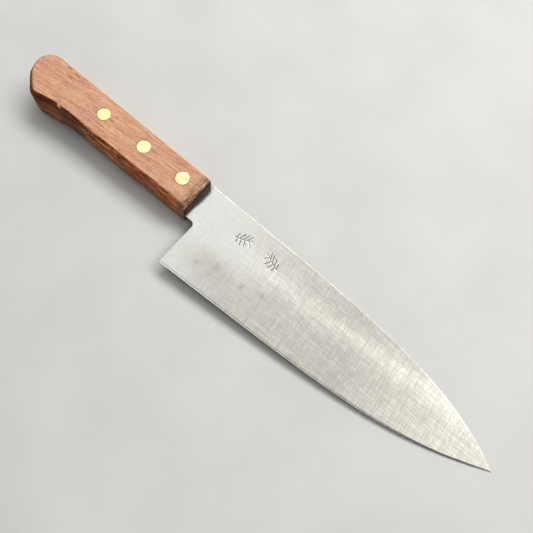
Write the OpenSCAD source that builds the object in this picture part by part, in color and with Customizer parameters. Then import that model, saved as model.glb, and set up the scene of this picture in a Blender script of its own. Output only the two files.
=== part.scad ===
// Chef knife: a steel blade whose tang sits in a slotted wooden handle, held by three
// two-piece brass rivets.
//
// The knife lies on its side. +X runs to the tip, +Y to the spine and +Z up, out of the
// handle's flat side. The shapes below are drawn from the middle of the handle's front face:
// X = 0 is that face, Y = 0 is the line through the rivets, and Z = 0 is the handle's lower
// side. One shift, at the end, moves the whole knife to the middle of its bounding box.

/* [Blade] */
// Length of the blade, from the heel to the tip along the spine
blade_length = 180; // [150:1:240]
// Drop from the rivet line to the corner of the heel
heel_drop = 37.8; // [32:0.1:44]
// Drop from the rivet line to the tip
tip_drop = 12.8; // [8:0.1:18]
// Rise from the rivet line to the spine, where the blade leaves the handle
spine_rise = 9.4; // [9.4:0.1:11]
// Drop from the rivet line to the lower edge of the neck
neck_drop = 12; // [10:0.1:12.4]
// Length of the neck, from the handle to the heel
neck_length = 6.7; // [4:0.1:12]
// Radius of the inside corner between the neck and the heel
choil_radius = 2.4; // [1:0.1:3.5]
// Thickness of the steel at the spine
blade_thickness = 2; // [1.6:0.1:3]

/* [Grind] */
// Width of the flat grind, from the cutting edge up to full thickness
grind_width = 40; // [30:1:46]
// Width of the honed bevel along the cutting edge
bevel_width = 0.8; // [0.4:0.1:1.5]
// Thickness of the blade at the top of the honed bevel
bevel_thickness = 0.4; // [0.3:0.05:0.8]
// Thickness left at the cutting edge itself
edge_thickness = 0.1; // [0.05:0.05:0.2]

/* [Tang] */
// Length of the tang inside the handle
tang_length = 78; // [74:1:90]
// Step on each face where the tang starts, so that the blade butts against the handle
tang_relief = 0.1; // [0.05:0.05:0.3]
// Drop from the rivet line to the tang's lower edge, at the handle's front face
tang_drop_front = 7; // [6:0.5:9]
// Drop from the rivet line to the tang's lower edge, at its rear end
tang_drop_rear = 4.5; // [4:0.5:6]
// Radius of the tang's lower rear corner
tang_corner_radius = 3; // [1:0.5:4]

/* [Handle] */
// Length of the handle
handle_length = 114; // [110:1:130]
// Thickness of the handle, across the blade
handle_thickness = 15; // [14:0.5:20]
// Rise from the rivet line to the handle's spine side, at the front
handle_rise_front = 8.8; // [8:0.1:9.2]
// Rise from the rivet line to the handle's spine side, at the butt
handle_rise_rear = 9.3; // [8.5:0.1:9.4]
// Drop from the rivet line to the handle's belly, at the front
belly_drop_front = 12.3; // [12:0.1:14]
// Drop from the rivet line to the handle's belly, just ahead of the flare
belly_drop_rear = 12.9; // [12:0.1:14]
// Distance from the butt to the start of the flare
flare_length = 32.5; // [30:0.5:40]
// Drop from the rivet line to the lowest point of the flare, before rounding
flare_drop = 16.9; // [15:0.1:19]
// Distance from the butt to the lowest point of the flare
flare_setback = 12; // [10:0.5:14]
// Drop from the rivet line to the lower end of the butt, before rounding
butt_drop = 4.8; // [3:0.1:7]
// Radius of the softened edges
edge_round = 1.5; // [1:0.1:1.7]

/* [Rivets] */
// Distance from the handle's front face to the front rivet
front_rivet_setback = 12; // [9:0.5:14]
// Distance from the front rivet to the middle one
front_pitch = 26; // [24:0.5:28]
// Distance from the middle rivet to the rear one
rear_pitch = 27.5; // [25:0.5:28]
// Diameter of the rivet heads
head_diameter = 7.2; // [6:0.1:8]
// Thickness of the rivet heads, which lie flush in the wood
head_depth = 3; // [2:0.1:4]
// Outside diameter of the hollow half's barrel
barrel_diameter = 5; // [4.4:0.1:5.6]
// Diameter of the solid half's shank, a press fit in the barrel
shank_diameter = 3.4; // [2.8:0.1:3.8]

/* [Hidden] */

// Straight pieces in each rounded corner, and in each long curve of the blade
CORNER_STEPS = 8;
CURVE_STEPS = 28;
// Rings in each softened edge of the handle
SOFT_STEPS = 3;
$fn = 48;

STEEL = [0.78, 0.78, 0.75];
WOOD = [0.70, 0.46, 0.34];
BRASS = [0.89, 0.80, 0.47];

// Height of the plane that splits the knife's thickness in two
mid_z = handle_thickness / 2;
tang_thickness = blade_thickness - 2 * tang_relief;

// Main points of the blade
neck_top = [0, spine_rise];
heel = [neck_length, -heel_drop];
tip = [neck_length + blade_length, -tip_drop];

// The spine runs nearly straight, then drops to the tip. The edge bows gently upwards.
// Both are cubic curves. Each inner point is a share of the length, and then a rise from the
// curve's start: in millimetres on the spine, as a share of the edge's whole rise on the edge.
spine_inner_points = [[0.427, -1.2], [0.785, 2.1]];
edge_inner_points = [[0.627, 0.21], [0.760, 0.285]];
edge_rise = heel_drop - tip_drop;
spine_curve = [
    neck_top,
    for (p = spine_inner_points) [p.x * tip.x, spine_rise + p.y],
    tip
];
edge_curve = [
    heel,
    for (p = edge_inner_points) heel + [p.x * blade_length, p.y * edge_rise],
    tip
];
// Places along the edge, from 0 at the heel to 1 at the tip, where a grinding facet touches it
GRIND_PLACES = [0, 0.4, 0.6, 0.75, 0.88, 1];
// Distance outside the edge at which a wedge starts, so that its foot never cuts the outline
foot_margin = 0.3;
// A length that reaches past the whole blade from anywhere on it
reach = 2 * (blade_length + heel_drop);

// Rounding radii of the handle's outline
front_radius = 1.8;
butt_spine_radius = 8.5;
butt_belly_radius = 12;
flare_radius = 8;
flare_start_radius = 35;

// Corners of the handle's outline, anticlockwise, each with its rounding radius
handle_corners = [
    [0, -belly_drop_front, front_radius],
    [0, handle_rise_front, front_radius],
    [-handle_length, handle_rise_rear, butt_spine_radius],
    [-handle_length, -butt_drop, butt_belly_radius],
    [flare_setback - handle_length, -flare_drop, flare_radius],
    [flare_length - handle_length, -belly_drop_rear, flare_start_radius]
];

rivet_places = [
    -front_rivet_setback,
    -front_rivet_setback - front_pitch,
    -front_rivet_setback - front_pitch - rear_pitch
];
// Wall left under the barrel's bore, and the room left below the end of the shank
bore_floor = 1.2;
shank_clearance = 0.8;
// Radial room that the tang's holes leave around the barrels
tang_hole_clearance = 0.1;

// ---- Functions ----

// Heading from one point to another, in degrees
function heading(a, b) = atan2(b.y - a.y, b.x - a.x);

// Unit vector along a heading
function unit(angle) = [cos(angle), sin(angle)];

// The same turn, between -180 and 180 degrees
function wrap(angle) = angle > 180 ? angle - 360 : angle <= -180 ? angle + 360 : angle;

// Points of one corner [x, y, radius] of an anticlockwise outline, drawn in by inset
function corner_points(before, here, after, inset) =
    let (
        point = [here.x, here.y],
        start = heading(before, here) - 90,
        sweep = wrap(heading(here, after) - 90 - start),
        side = sign(sweep),
        normals = unit(start) + unit(start + sweep),
        centre = point - side * here.z * normals / (1 + cos(sweep)),
        radius = side * here.z - inset
    )
    here.z == 0 ? [point] :
    [for (step = [0 : CORNER_STEPS]) centre + radius * unit(start + sweep * step / CORNER_STEPS)];

// Outline through a list of rounded corners, drawn in by inset
function outline(corners, inset = 0) =
    let (count = len(corners))
    [for (i = [0 : count - 1]) each corner_points(
        corners[(i + count - 1) % count], corners[i], corners[(i + 1) % count], inset)];

// Point on a cubic curve, for t from 0 to 1
function curve_point(c, t) =
    pow(1 - t, 3) * c[0] + 3 * pow(1 - t, 2) * t * c[1] + 3 * (1 - t) * t * t * c[2] + pow(t, 3) * c[3];

// Heading of a cubic curve at t
function curve_heading(c, t) =
    let (
        first = c[1] - c[0],
        second = c[2] - c[1],
        third = c[3] - c[2]
    )
    heading([0, 0], pow(1 - t, 2) * first + 2 * (1 - t) * t * second + t * t * third);

// Height of the handle's spine side at a place along it
function handle_spine_y(x) =
    handle_rise_front + (handle_rise_rear - handle_rise_front) * -x / handle_length;

// ---- Shared shapes ----

// A block with an outline of rounded corners, whose upper and lower edges are softened
module softened_block(corners, thickness, round) {
    lower = [for (i = [0 : SOFT_STEPS]) let (a = 90 * i / SOFT_STEPS)
        [round * (1 - cos(a)), round * (1 - sin(a))]];
    upper = [for (i = [0 : SOFT_STEPS]) let (a = 90 * i / SOFT_STEPS)
        [thickness - round * (1 - sin(a)), round * (1 - cos(a))]];
    rings = concat(lower, upper);
    n = len(outline(corners));
    last = (len(rings) - 1) * n;
    points = [for (ring = rings) for (q = outline(corners, ring[1])) [q.x, q.y, ring[0]]];
    sides = [for (k = [0 : len(rings) - 2]) for (i = [0 : n - 1])
        let (next = (i + 1) % n)
        [k * n + i, (k + 1) * n + i, (k + 1) * n + next, k * n + next]];
    polyhedron(
        points = points,
        faces = concat([[for (i = [0 : n - 1]) i]], sides, [[for (i = [n - 1 : -1 : 0]) last + i]])
    );
}

// A plate of steel centred on the middle plane
module steel_plate(points, thickness) {
    translate([0, 0, mid_z])
        linear_extrude(thickness, center = true)
            polygon(points);
}

// The wedge of steel that one pass of the grinder leaves, touching the edge at place t
module grind_wedge(t) {
    half = [
        [-foot_margin, edge_thickness / 2],
        [bevel_width, bevel_thickness / 2],
        [grind_width, blade_thickness / 2],
        [reach, blade_thickness / 2]
    ];
    other = [for (i = [len(half) - 1 : -1 : 0]) [half[i].x, -half[i].y]];
    foot = curve_point(edge_curve, t);
    translate([foot.x, foot.y, mid_z])
        rotate([0, 0, curve_heading(edge_curve, t)])
            rotate([90, 0, 90])
                linear_extrude(2 * reach, center = true)
                    polygon(concat(half, other));
}

// Everything that follows sits with its axis on one rivet's place
module at_rivet(index) {
    translate([rivet_places[index], 0, 0])
        children();
}

// ---- The blade ----

// Outline of the blade and its neck, up to the handle's front face
function blade_outline() = concat(
    [neck_top, [0, -neck_drop]],
    choil_points(),
    [for (i = [0 : CURVE_STEPS]) curve_point(edge_curve, i / CURVE_STEPS)],
    [for (i = [CURVE_STEPS - 1 : -1 : 1]) curve_point(spine_curve, i / CURVE_STEPS)]
);

// The rounded inside corner between the neck and the heel
function choil_points() =
    corner_points([0, -neck_drop], [neck_length, -neck_drop, choil_radius], heel, 0);

// Outline of the tang, whose upper edge lies flush with the handle's spine side.
// A rise above 0 carries that edge past the handle, to cut the slot.
function tang_outline(rise = 0) = outline([
    [0, -tang_drop_front, 0],
    [0, handle_spine_y(0) + rise, 0],
    [-tang_length, handle_spine_y(-tang_length) + rise, 0],
    [-tang_length, -tang_drop_rear, tang_corner_radius]
]);

module blade() {
    color(STEEL)
        difference() {
            union() {
                intersection() {
                    steel_plate(blade_outline(), blade_thickness);
                    intersection_for (t = GRIND_PLACES)
                        grind_wedge(t);
                }
                steel_plate(tang_outline(), tang_thickness);
            }
            for (i = [0 : len(rivet_places) - 1])
                at_rivet(i)
                    cylinder(h = handle_thickness, d = barrel_diameter + 2 * tang_hole_clearance);
        }
}

// ---- The handle ----

// One block of wood, slotted from its spine side for the tang and drilled for the rivets
module handle() {
    slot_overrun = 3;
    color(WOOD)
        difference() {
            softened_block(handle_corners, handle_thickness, edge_round);
            steel_plate(tang_outline(rise = slot_overrun), tang_thickness);
            for (i = [0 : len(rivet_places) - 1])
                at_rivet(i)
                    rivet_hole();
        }
}

// Through hole for a barrel, counterbored from both sides for the heads
module rivet_hole() {
    overrun = 1;
    translate([0, 0, -overrun])
        cylinder(h = handle_thickness + 2 * overrun, d = barrel_diameter);
    translate([0, 0, -overrun])
        cylinder(h = head_depth + overrun, d = head_diameter);
    translate([0, 0, handle_thickness - head_depth])
        cylinder(h = head_depth + overrun, d = head_diameter);
}

// ---- The rivets ----

// The solid half: a head above, with a shank that is pressed down into the barrel
module rivet_male() {
    shank_end = bore_floor + shank_clearance;
    shank_taper = 0.4;
    color(BRASS)
        rotate_extrude()
            polygon([
                [0, shank_end],
                [shank_diameter / 2 - shank_taper, shank_end],
                [shank_diameter / 2, shank_end + shank_taper],
                [shank_diameter / 2, handle_thickness - head_depth],
                [head_diameter / 2, handle_thickness - head_depth],
                [head_diameter / 2, handle_thickness],
                [0, handle_thickness]
            ]);
}

// The hollow half: a head below, with a barrel that passes through the wood and the tang
module rivet_female() {
    barrel_top = handle_thickness - head_depth;
    color(BRASS)
        rotate_extrude()
            polygon([
                [0, 0],
                [head_diameter / 2, 0],
                [head_diameter / 2, head_depth],
                [barrel_diameter / 2, head_depth],
                [barrel_diameter / 2, barrel_top],
                [shank_diameter / 2, barrel_top],
                [shank_diameter / 2, bore_floor],
                [0, bore_floor]
            ]);
}

// ---- The knife, moved to the middle of its bounding box ----

module centred() {
    translate([(handle_length - tip.x) / 2, (heel_drop - spine_rise) / 2, 0])
        children();
}

centred() blade();
centred() handle();
centred() at_rivet(0) rivet_male();  // rivet_front_male
centred() at_rivet(0) rivet_female();  // rivet_front_female
centred() at_rivet(1) rivet_male();  // rivet_middle_male
centred() at_rivet(1) rivet_female();  // rivet_middle_female
centred() at_rivet(2) rivet_male();  // rivet_rear_male
centred() at_rivet(2) rivet_female();  // rivet_rear_female
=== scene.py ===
import math

import bmesh
import bpy
import numpy as np
from mathutils import Matrix, Vector, noise


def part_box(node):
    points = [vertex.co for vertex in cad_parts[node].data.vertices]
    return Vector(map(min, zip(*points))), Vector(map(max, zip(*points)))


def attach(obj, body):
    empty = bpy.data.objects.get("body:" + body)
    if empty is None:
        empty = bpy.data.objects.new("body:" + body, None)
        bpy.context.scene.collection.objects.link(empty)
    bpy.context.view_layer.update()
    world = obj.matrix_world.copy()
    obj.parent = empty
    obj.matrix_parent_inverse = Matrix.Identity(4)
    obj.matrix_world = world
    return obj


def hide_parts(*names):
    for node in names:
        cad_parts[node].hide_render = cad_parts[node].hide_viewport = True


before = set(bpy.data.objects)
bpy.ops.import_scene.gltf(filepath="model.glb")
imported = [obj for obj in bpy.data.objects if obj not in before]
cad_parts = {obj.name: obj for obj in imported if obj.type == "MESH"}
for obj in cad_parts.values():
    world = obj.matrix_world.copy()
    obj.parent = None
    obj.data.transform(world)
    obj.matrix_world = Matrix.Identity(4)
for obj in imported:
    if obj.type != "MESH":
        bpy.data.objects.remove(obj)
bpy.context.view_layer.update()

MM = 0.001

# ---- Places in the frame, read from the CAD model ----

blade_low, blade_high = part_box("blade")
handle_low, handle_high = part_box("handle")
RIVETS = ("front", "middle", "rear")
rivet_boxes = {name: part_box(f"rivet_{name}_male") for name in RIVETS}
rivet_x = {name: (low.x + high.x) / 2 for name, (low, high) in rivet_boxes.items()}
RIVET_Y = (rivet_boxes["front"][0].y + rivet_boxes["front"][1].y) / 2
HEAD_RADIUS = (rivet_boxes["front"][1].x - rivet_boxes["front"][0].x) / 2

FRONT_X = handle_high.x
BUTT_X = handle_low.x
MID_Z = (blade_low.z + blade_high.z) / 2

# ---- Sizes of the blade ----

NECK_LENGTH = 6.7 * MM
NECK_DROP = 12 * MM
CHOIL_RADIUS = 2.4 * MM
TIP_DROP = 12.8 * MM
BLADE_THICKNESS = blade_high.z - blade_low.z
TANG_RELIEF = 0.1 * MM
TANG_LENGTH = 78 * MM
TANG_DROP_FRONT = 7 * MM
TANG_DROP_REAR = 4.5 * MM
GRIND_WIDTH = 40 * MM
GRIND_BELLY = 0.10
BEVEL_WIDTH = 0.8 * MM
BEVEL_THICKNESS = 0.4 * MM
EDGE_THICKNESS = 0.1 * MM
STEEL_EASE = 0.1 * MM
# Distances from a sharp corner at which its eased edge has a line of points
EASE_STEPS = tuple(share * STEEL_EASE for share in (0, 0.25, 0.6, 1, 1.5))
EASE_MARGIN = 0.6 * MM
TANG_CORNER = 3 * MM
TANG_INSET = 0.05 * MM

HEEL = Vector((FRONT_X + NECK_LENGTH, blade_low.y))
TIP = Vector((blade_high.x, RIVET_Y - TIP_DROP))
NECK_TOP = Vector((FRONT_X, blade_high.y))
REACH = TIP.x - FRONT_X
BLADE_LENGTH = TIP.x - HEEL.x
EDGE_RISE = TIP.y - HEEL.y
SPINE_CURVE = (
    NECK_TOP,
    NECK_TOP + Vector((0.427 * REACH, -1.2 * MM)),
    NECK_TOP + Vector((0.785 * REACH, 2.1 * MM)),
    TIP,
)
EDGE_CURVE = (
    HEEL,
    HEEL + Vector((0.627 * BLADE_LENGTH, 0.21 * EDGE_RISE)),
    HEEL + Vector((0.760 * BLADE_LENGTH, 0.285 * EDGE_RISE)),
    TIP,
)

# ---- Sizes of the handle ----

HANDLE_LENGTH = FRONT_X - BUTT_X
HANDLE_THICKNESS = handle_high.z - handle_low.z
RISE_FRONT = 8.8 * MM
RISE_REAR = 9.3 * MM
BELLY_DROP_FRONT = 12.3 * MM
BELLY_DROP_REAR = 12.9 * MM
FLARE_DROP = 16.9 * MM
FLARE_SETBACK = 12 * MM
FLARE_LENGTH = 32.5 * MM
BUTT_DROP = 4.8 * MM
FRONT_ROUND = 1.8 * MM
BUTT_SPINE_ROUND = 8.5 * MM
BUTT_BELLY_ROUND = 12 * MM
FLARE_ROUND = 8 * MM
WAIST_ROUND = 35 * MM

# ---- Sizes of the rivets and their holes ----

HEAD_DEPTH = 3 * MM
HEAD_CROWN = 0.03 * MM
HEAD_RIM = 0.07 * MM
BARREL_RADIUS = 2.5 * MM
BARREL_FLOOR = 1.2 * MM
SHANK_RADIUS = 1.7 * MM
SHANK_END = 2.0 * MM
SHANK_EASE = 0.4 * MM
TANG_HOLE_RADIUS = 2.6 * MM
HEAD_CLEARANCE = 0.04 * MM
SLOT_CLEARANCE = 0.02 * MM
# The mouth of a hole: how much wider it is, how deep the widest part is, and where it ends
MOUTH_FLARE = 0.1 * MM
MOUTH_LIP = 0.08 * MM
MOUTH_DEPTH = 0.2 * MM
# How far a cutter reaches past the wood that it cuts
OVERSHOOT = 1 * MM
SLOT_OVERSHOOT = 3 * MM
TURN_STEPS = 96
HOLE_STEPS = 48

# ---- Small helpers ----


def cubic(points, t):
    """Point on a cubic curve, for t from 0 to 1."""
    a, b, c, d = points
    s = 1 - t
    return s * s * s * a + 3 * s * s * t * b + 3 * s * t * t * c + t * t * t * d


def height_on(points, x):
    """Height of a curve that runs along +X, at a place x."""
    low, high = 0.0, 1.0
    for _ in range(44):
        middle = (low + high) / 2
        if cubic(points, middle).x < x:
            low = middle
        else:
            high = middle
    return cubic(points, (low + high) / 2).y


def smoothstep(low, high, x):
    t = np.clip((x - low) / (high - low), 0, 1)
    return t * t * (3 - 2 * t)


def spread(start, end, count):
    """count + 1 even values from start to end."""
    return [start + (end - start) * (i / count) for i in range(count + 1)]


def add(name, data):
    """A new object in the scene that holds the data."""
    obj = bpy.data.objects.new(name, data)
    bpy.context.scene.collection.objects.link(obj)
    return obj


def new_object(name, vertices, faces, material, sharp_angle):
    mesh = bpy.data.meshes.new(name)
    mesh.from_pydata([tuple(v) for v in vertices], [], faces)
    mesh.validate()
    mesh.shade_smooth()
    mesh.set_sharp_from_angle(angle=math.radians(sharp_angle))
    mesh.materials.append(material)
    return add(name, mesh)


def place(obj, slot, *nodes):
    """The piece hangs on the one rigid body and stands in for its CAD nodes, which are hidden; slot
    is not used.
    """
    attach(obj, "root")
    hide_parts(*nodes)


def evaluated_mesh(obj):
    """A new mesh of the object as it looks, with its modifiers or as a filled curve."""
    bpy.context.view_layer.update()
    graph = bpy.context.evaluated_depsgraph_get()
    return bpy.data.meshes.new_from_object(obj.evaluated_get(graph))


def cut_away(obj, cutter):
    """Cuts one object out of another for good, and removes the cutter."""
    modifier = obj.modifiers.new("cut", "BOOLEAN")
    modifier.operation = "DIFFERENCE"
    modifier.solver = "EXACT"
    modifier.object = cutter
    mesh = evaluated_mesh(obj)
    obj.modifiers.clear()
    obj.data = mesh
    bpy.data.objects.remove(cutter)
    mesh.shade_smooth()
    mesh.set_sharp_from_angle(angle=math.radians(50))


# ---- Node graphs ----


class Graph:
    """A material's node tree, with short calls for the nodes that the finishes are made of."""

    def __init__(self, name):
        self.material = bpy.data.materials.new(name)
        self.material.use_nodes = True
        self.tree = self.material.node_tree
        self.tree.nodes.clear()
        self.shader = self.tree.nodes.new("ShaderNodeBsdfPrincipled")
        output = self.tree.nodes.new("ShaderNodeOutputMaterial")
        self.tree.links.new(self.shader.outputs["BSDF"], output.inputs["Surface"])
        coords = self.tree.nodes.new("ShaderNodeTexCoord")
        # Object coordinates in millimetres: every piece has its origin at the frame's
        self.mm = self.vector("SCALE", coords.outputs["Object"], factor=1 / MM)

    def feed(self, socket, value):
        if isinstance(value, bpy.types.NodeSocket):
            self.tree.links.new(value, socket)
        else:
            socket.default_value = value

    def set(self, name, value):
        self.feed(self.shader.inputs[name], value)

    def math(self, operation, a, b=0.0, c=0.0):
        node = self.tree.nodes.new("ShaderNodeMath")
        node.operation = operation
        for socket, value in zip(node.inputs, (a, b, c)):
            self.feed(socket, value)
        return node.outputs[0]

    def plus(self, total, *others):
        for other in others:
            total = self.math("ADD", total, other)
        return total

    def minus(self, a, b):
        return self.math("SUBTRACT", a, b)

    def times(self, product, *others):
        for other in others:
            product = self.math("MULTIPLY", product, other)
        return product

    def largest(self, values):
        total = values[0]
        for value in values[1:]:
            total = self.math("MAXIMUM", total, value)
        return total

    def vector(self, operation, a, b=(0, 0, 0), factor=None, out=0):
        node = self.tree.nodes.new("ShaderNodeVectorMath")
        node.operation = operation
        self.feed(node.inputs[0], a)
        self.feed(node.inputs[1], b)
        if factor is not None:
            self.feed(node.inputs["Scale"], factor)
        return node.outputs[out]

    def split(self, vector):
        node = self.tree.nodes.new("ShaderNodeSeparateXYZ")
        self.feed(node.inputs[0], vector)
        return node.outputs

    def join(self, x, y, z):
        node = self.tree.nodes.new("ShaderNodeCombineXYZ")
        for socket, value in zip(node.inputs, (x, y, z)):
            self.feed(socket, value)
        return node.outputs[0]

    def distance(self, point, centre, scale=(1, 1, 1)):
        """Distance between two points, each axis with its own scale."""
        offset = self.vector("SUBTRACT", point, centre)
        if scale != (1, 1, 1):
            offset = self.vector("MULTIPLY", offset, scale)
        return self.vector("LENGTH", offset, out=1)

    def noise(self, stretch, detail=2.0, roughness=0.5, at=None, shift=(0, 0, 0)):
        """Noise with its own count of cells to a millimetre along each axis."""
        moved = self.vector("ADD", self.mm if at is None else at, shift)
        node = self.tree.nodes.new("ShaderNodeTexNoise")
        self.feed(node.inputs["Vector"], self.vector("MULTIPLY", moved, stretch))
        node.inputs["Scale"].default_value = 1.0
        node.inputs["Detail"].default_value = detail
        node.inputs["Roughness"].default_value = roughness
        return node.outputs["Fac"]

    def ramp(self, value, low, high, to_low=0.0, to_high=1.0):
        """A smooth step from to_low to to_high, as value goes from low to high."""
        node = self.tree.nodes.new("ShaderNodeMapRange")
        node.interpolation_type = "SMOOTHSTEP"
        for socket, number in zip(node.inputs, (value, low, high, to_low, to_high)):
            self.feed(socket, number)
        return node.outputs[0]

    def fade(self, value, low, high):
        """1 up to low, falling to 0 at high."""
        return self.ramp(value, low, high, 1.0, 0.0)

    def band(self, value, start, full, still_full, end):
        """1 between the two middle places, falling to 0 at the outer two."""
        return self.times(self.ramp(value, start, full), self.fade(value, still_full, end))

    def mix(self, factor, a, b):
        node = self.tree.nodes.new("ShaderNodeMix")
        node.data_type = "RGBA"
        self.feed(node.inputs["Factor"], factor)
        self.feed(node.inputs["A"], a)
        self.feed(node.inputs["B"], b)
        return node.outputs["Result"]

    def tinge(self, base, mask, amount, tone):
        """The base colour, taken part of the way to a tone where mask is 1."""
        return self.mix(self.times(mask, amount), base, tone)

    def bump(self, height, distance, normal=None):
        node = self.tree.nodes.new("ShaderNodeBump")
        node.inputs["Strength"].default_value = 1.0
        node.inputs["Distance"].default_value = distance
        self.feed(node.inputs["Height"], height)
        if normal is not None:
            self.feed(node.inputs["Normal"], normal)
        return node.outputs["Normal"]

    def stroke(self, point, start, end, width):
        """1 on a straight engraved stroke between two points, falling to 0 at its sides."""
        start, end = Vector((*start, 0)), Vector((*end, 0))
        along = end - start
        offset = self.vector("SUBTRACT", point, tuple(start))
        reach = self.vector("DOT_PRODUCT", offset, tuple(along), out=1)
        share = self.math("DIVIDE", reach, along.length_squared)
        share = self.math("MINIMUM", self.math("MAXIMUM", share, 0.0), 1.0)
        nearest = self.vector("SCALE", tuple(along), factor=share)
        return self.fade(self.distance(offset, nearest), width * 0.25, width * 0.75)


def colour(red, green, blue):
    """Linear colour from the usual 0 to 255 screen values."""
    def linear(value):
        value /= 255
        return value / 12.92 if value <= 0.04045 else ((value + 0.055) / 1.055) ** 2.4
    return (linear(red), linear(green), linear(blue), 1.0)


# ---- Finishes ----

# Places on a finish are in millimetres from the frame's origin, unless they are from_something

# A sprig of leaves, drawn in millimetres about its own middle: a generic etched ornament
SPRIG = (
    ((-4.8, -1.8), (-1.2, -0.7)),
    ((-1.2, -0.7), (4.6, 2.0)),
    ((-3.6, -1.4), (-3.2, 1.2)),
    ((-2.8, -1.2), (-2.2, -3.6)),
    ((-1.9, -0.9), (-1.0, 2.6)),
    ((-1.0, -0.6), (0.2, -3.8)),
    ((-0.2, -0.2), (1.2, 3.6)),
    ((0.7, 0.2), (2.2, -2.9)),
    ((1.6, 0.6), (3.0, 3.9)),
    ((2.4, 1.0), (4.4, -1.0)),
    ((-1.6, 1.2), (-0.3, 2.3)),
    ((1.3, -1.4), (2.6, -1.6)),
)
# Middle of each sprig, and whether it is turned to face the other
SPRIG_PLACES = ((-6.0, 11.9, False), (12.2, 12.0, True))
STROKE_WIDTH = 0.48


def sprig_mask(g, steel_point):
    strokes = []
    for x, y, mirrored in SPRIG_PLACES:
        side = -1 if mirrored else 1
        for stroke in SPRIG:
            start, end = ((x + side * a, y + b) for a, b in stroke)
            strokes.append(g.stroke(steel_point, start, end, STROKE_WIDTH))
    return g.largest(strokes)


# Middles of the small grey spots on the blade, each with its radius
SPOTS = (((-6.4, -7.4), 3.2), ((19.7, -4.5), 2.8), ((8.9, -7.4), 2.0), ((-16.0, -12.0), 2.2))
# Middle of the tarnish near the heel, and the scale that makes it an oval
TARNISH_MIDDLE = (-10, -11, 0)
TARNISH_SCALE = (0.055, 0.08, 0)
# Height of the middle of the smooth band along the blade
SMOOTH_BAND = 7.0
# How far a scratch from edge to spine leans back, to a millimetre of height
SCRATCH_LEAN = 0.12


def steel():
    g = Graph("blade_steel")
    x, y, z = g.split(g.mm)
    flat_point = g.join(x, y, 0.0)

    # Scratches from edge to spine lean back a little. A second, sparser set runs along the blade.
    leaning = g.join(g.plus(x, g.times(y, SCRATCH_LEAN)), y, z)
    cross = g.noise((2.5, 0.13, 0.05), roughness=0.8, at=leaning)
    coarse = g.noise((0.8, 0.05, 0.05), roughness=0.6, at=leaning, shift=(14, 6, 0))
    along = g.noise((0.10, 2.6, 0.05), roughness=0.8, shift=(0, 90, 0))
    cloud = g.noise((0.045, 0.06, 0.05), shift=(7, 0, 0))
    grit = g.noise((1.4, 1.4, 0.1), detail=3, roughness=0.7, shift=(5, 5, 0))
    deep = g.ramp(g.noise((1.1, 0.10, 0.05), at=leaning, shift=(0, 55, 0)), 0.72, 0.8)

    # The steel is smooth beside the handle, and more worn off the smooth band and towards the tip
    off_band = g.math("ABSOLUTE", g.minus(y, SMOOTH_BAND))
    worn = g.plus(g.times(x, 0.016), g.times(off_band, 0.014), g.times(cloud, 0.35))
    worn = g.ramp(worn, 0.05, 1.0, 0.10, 1.0)

    # Faint tarnish near the heel, small grey spots, and beside the handle a brown stain with a
    # painted shadow of the handle
    broken = g.noise((0.35, 0.35, 0.1), detail=5, roughness=0.8, shift=(3, 8, 0))
    from_tarnish = g.distance(flat_point, TARNISH_MIDDLE, TARNISH_SCALE)
    tarnish = g.times(g.fade(from_tarnish, 0.0, 1.0), g.ramp(broken, 0.30, 0.65, 0.3, 1.0))
    spots = []
    for middle, radius in SPOTS:
        from_spot = g.distance(flat_point, (*middle, 0))
        from_spot = g.plus(from_spot, g.times(g.minus(broken, 0.5), 7.0))
        spots.append(g.fade(from_spot, 0.0, radius))
    spots = g.times(g.largest(spots), g.ramp(broken, 0.36, 0.60, 0.25, 1.0))
    from_handle = g.minus(x, FRONT_X / MM)
    # Brown stain and painted shadow of the handle on the steel next to it
    stain_and_shadow_by_handle = g.fade(g.plus(from_handle, g.noise((0.2, 0.3, 0.1))), 0.4, 2.8)
    mark = sprig_mask(g, flat_point)

    # The clean metal, then its scratches, its stains, the painted shadow beside the handle and the
    # etching
    base = g.mix(worn, colour(222, 223, 218), colour(219, 216, 207))
    tint = g.ramp(g.plus(g.times(cross, 0.94), g.times(coarse, 0.06)), 0.37, 0.63)
    tint = g.times(tint, g.math("MULTIPLY_ADD", worn, 0.50, 0.10))
    base = g.mix(tint, base, colour(170, 165, 156))
    hair = g.times(g.ramp(along, 0.40, 0.62), g.math("MULTIPLY_ADD", worn, 0.58, 0.10))
    base = g.mix(hair, base, colour(176, 171, 162))
    base = g.tinge(base, deep, 0.12, colour(150, 145, 136))
    base = g.tinge(base, g.ramp(grit, 0.4, 0.7), 0.16, colour(170, 165, 156))
    base = g.tinge(base, tarnish, 0.42, colour(160, 144, 126))
    base = g.tinge(base, spots, 0.52, colour(128, 124, 116))
    base = g.tinge(base, stain_and_shadow_by_handle, 0.55, colour(140, 122, 100))
    base = g.tinge(base, mark, 0.85, colour(60, 56, 52))
    g.set("Base Color", base)
    g.set("Metallic", g.ramp(mark, 0.0, 1.0, 1.0, 0.6))

    # Rougher where it is scratched and etched. The highlight is stretched across the scratches.
    rough = g.math("MULTIPLY_ADD", worn, 0.015, g.ramp(cross, 0.3, 0.7, 0.135, 0.155))
    g.set("Roughness", g.plus(rough, g.times(mark, 0.3)))
    g.set("Anisotropic", 0.9)
    tangent = g.tree.nodes.new("ShaderNodeTangent")
    tangent.direction_type = "UV_MAP"
    tangent.uv_map = LENGTH_UV
    g.set("Tangent", tangent.outputs[0])
    relief = g.minus(g.times(cross, 0.5), g.times(deep, 0.5))
    scratched = g.bump(g.times(relief, worn), 0.0006 * MM)
    g.set("Normal", g.bump(g.times(mark, -1.0), 0.03 * MM, scratched))
    return g.material


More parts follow.
